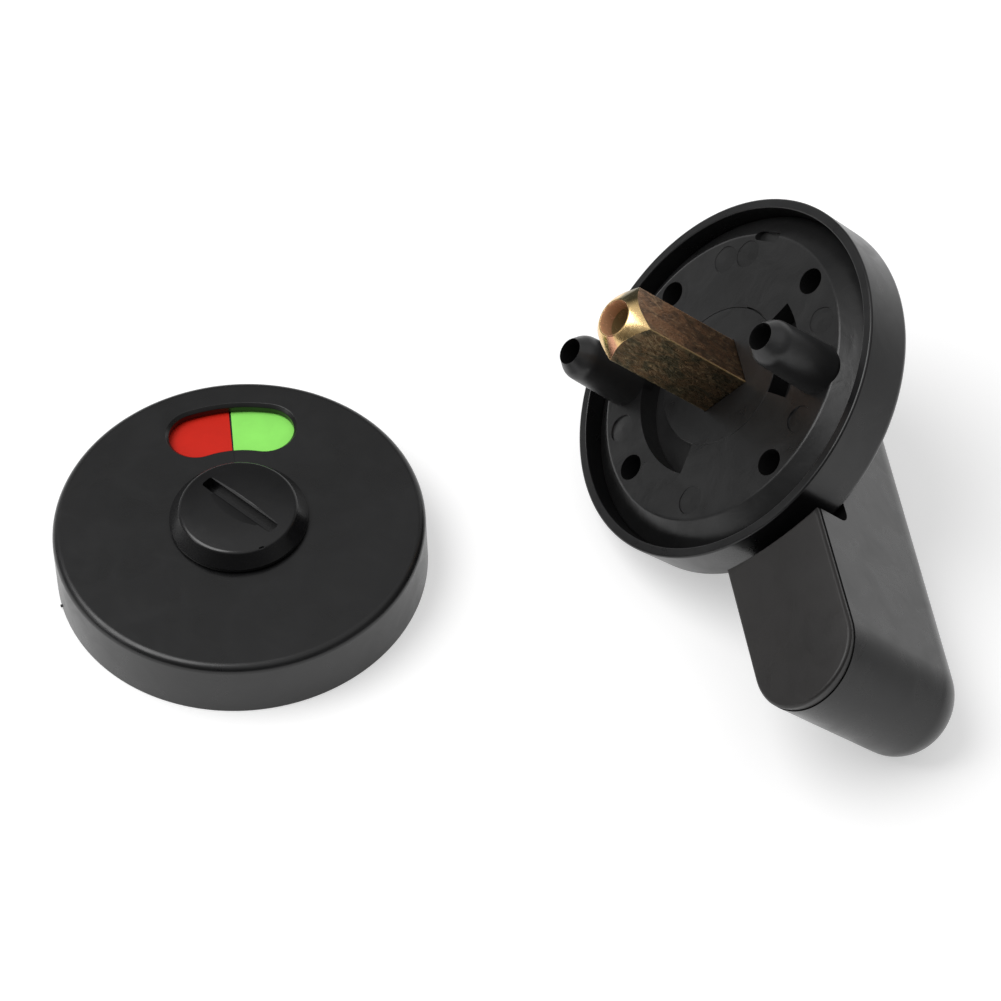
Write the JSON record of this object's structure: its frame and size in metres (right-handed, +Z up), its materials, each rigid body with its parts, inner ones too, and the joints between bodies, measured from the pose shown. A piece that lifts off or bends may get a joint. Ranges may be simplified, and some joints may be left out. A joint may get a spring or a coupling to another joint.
{
  "type": "cubicle indicator bolt",
  "caption": "Round nylon door indicator with a coin release knob and red and green window, beside its thumb turn with square spindle and fixing pillars.",
  "frame": {"origin": "centre of the outer half's back face, on the surface that both halves lie on", "axes": "+Z up, out of the outer half's face along its turning axis; +X towards the inner half, which lies to the right; +Y away from the viewer of the picture"},
  "size_m": [0.1295, 0.0844, 0.0469],
  "materials": {
    "cover_nylon": "moulded nylon, near black, soft sheen",
    "plate_nylon": "moulded nylon, near black, dull",
    "knob_nylon": "moulded nylon, near black, smoother than the cover",
    "handle_nylon": "moulded nylon, near black, soft sheen",
    "cap_nylon": "moulded nylon, dark brownish grey, dull",
    "dial_plastic": "moulded plastic",
    "red_plastic": "red plastic",
    "green_plastic": "light green plastic",
    "spindle_steel": "steel bar, yellow zinc plated, scratched",
    "core_steel": "steel",
    "spring_steel": "spring steel",
    "brass": "turned brass",
    "bush_plastic": "acetal, off white"
  },
  "bodies": {
    "fixed": {"indicator_cover": "cover_nylon", "outer_plate": "plate_nylon", "plate_inserts": "brass", "rose_cover": "cover_nylon", "base_plate": "plate_nylon", "bearing_bush": "bush_plastic", "hub_spring": "spring_steel"},
    "turn": {"drive_hub": "plate_nylon", "hub_pin": "core_steel", "spindle": "spindle_steel", "handle_shell": "handle_nylon", "handle_core": "core_steel", "grub_screw": "core_steel", "nose_cap": "cap_nylon"},
    "indicator": {"release_knob": "knob_nylon", "indicator_dial": "dial_plastic", "red_sector": "red_plastic", "green_sector": "green_plastic", "dial_spring": "spring_steel", "dial_ring": "spring_steel"}
  },
  "joints": [
    {"name": "handle_turn", "type": "hinge", "parent": "fixed", "child": "turn", "pos_m": [0.0698, 0.0149, 0.02562], "axis": [-0.7029, -0.1503, 0.6952], "range_deg": [0, 90]},
    {"name": "release_turn", "type": "hinge", "parent": "fixed", "child": "indicator", "pos_m": [0, 0, 0], "axis": [0, 0, 1], "range_deg": [-45, 45]}
  ]
}
